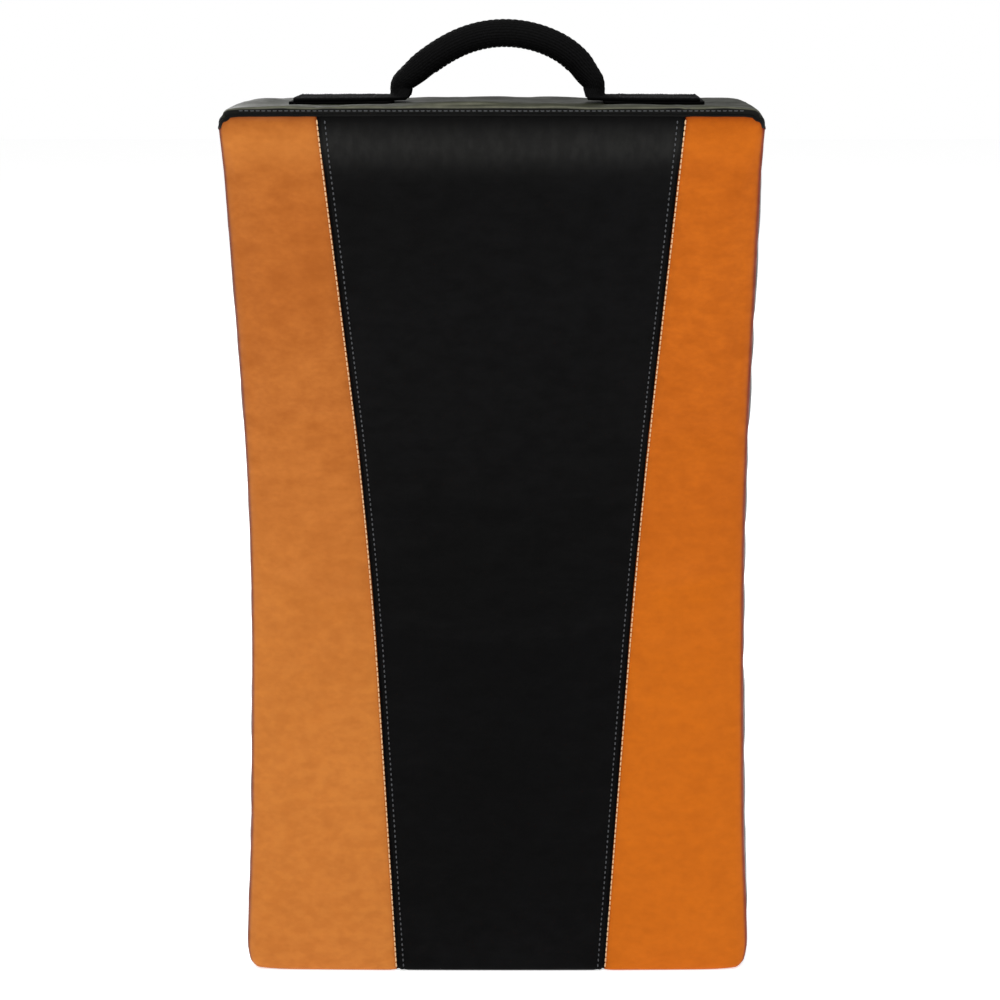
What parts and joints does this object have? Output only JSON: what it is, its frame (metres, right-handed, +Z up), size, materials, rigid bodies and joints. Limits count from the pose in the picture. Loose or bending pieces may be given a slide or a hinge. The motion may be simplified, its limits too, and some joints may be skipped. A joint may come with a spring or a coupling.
{
  "type": "curved kick shield",
  "caption": "Curved strike shield with a two-tone leather cover over layered foam, webbing handles on its top and back, and a zip across the lower back.",
  "frame": {"origin": "centre of the flat bottom, which the shield stands on", "axes": "+Z up along the shield's height, the strike face looks along -Y, the holder's side along +Y, +X to the right as seen from in front"},
  "size_m": [0.356, 0.2376, 0.6698],
  "materials": {
    "orange_leather": "semi-gloss, fine grain",
    "black_leather": "semi-gloss, fine grain",
    "black_vinyl": "satin",
    "webbing": "matt herringbone weave",
    "rope": "matt",
    "backing_cloth": "matt",
    "dense_foam": "matt",
    "soft_foam": "matt",
    "zip_tape": "matt",
    "zip_nylon": "satin",
    "zip_metal": "gloss"
  },
  "bodies": {
    "shield": {"front_centre_panel": "black_leather", "front_left_panel": "orange_leather", "front_right_panel": "orange_leather", "top_gusset": "black_vinyl", "bottom_gusset": "black_vinyl", "left_gusset": "black_vinyl", "right_gusset": "black_vinyl", "back_panel": "black_vinyl", "lower_back_panel": "black_vinyl", "top_welt": "black_vinyl", "strike_foam": "dense_foam", "core_foam": "soft_foam", "back_foam": "dense_foam", "top_handle_left_tail": "webbing", "top_handle_right_tail": "webbing", "top_handle_backing": "backing_cloth", "left_handle_upper_tail": "webbing", "left_handle_lower_tail": "webbing", "left_handle_backing": "backing_cloth", "right_handle_upper_tail": "webbing", "right_handle_lower_tail": "webbing", "right_handle_backing": "backing_cloth", "zip_upper_tape": "zip_tape", "zip_lower_tape": "zip_tape", "zip_coil": "zip_nylon", "zip_stops": "zip_metal"},
    "top_handle": {"top_handle_grip": "webbing", "top_handle_core": "rope"},
    "left_handle": {"left_handle_grip": "webbing", "left_handle_core": "rope"},
    "right_handle": {"right_handle_grip": "webbing", "right_handle_core": "rope"},
    "zip_slider": {"zip_slider": "zip_metal"},
    "zip_puller": {"zip_puller": "zip_metal"}
  },
  "joints": [
    {"name": "top_handle_fold", "type": "hinge", "parent": "shield", "child": "top_handle", "pos_m": [0, 0, 0.6195], "axis": [1, 0, 0], "range_deg": [-85, 85]},
    {"name": "left_handle_fold", "type": "hinge", "parent": "shield", "child": "left_handle", "pos_m": [-0.075, 0.12457, 0.305], "axis": [0, 0, 1], "range_deg": [-80, 80]},
    {"name": "right_handle_fold", "type": "hinge", "parent": "shield", "child": "right_handle", "pos_m": [0.075, 0.12457, 0.305], "axis": [0, 0, 1], "range_deg": [-80, 80]},
    {"name": "zip_slide", "type": "slide", "parent": "shield", "child": "zip_slider", "axis": [-1, 0, 0], "range_m": [0, 0.286]},
    {"name": "zip_puller_swing", "type": "hinge", "parent": "zip_slider", "child": "zip_puller", "pos_m": [0.1432, 0.07977, 0.05869], "axis": [1, 0, 0], "range_deg": [-15, 150]}
  ]
}
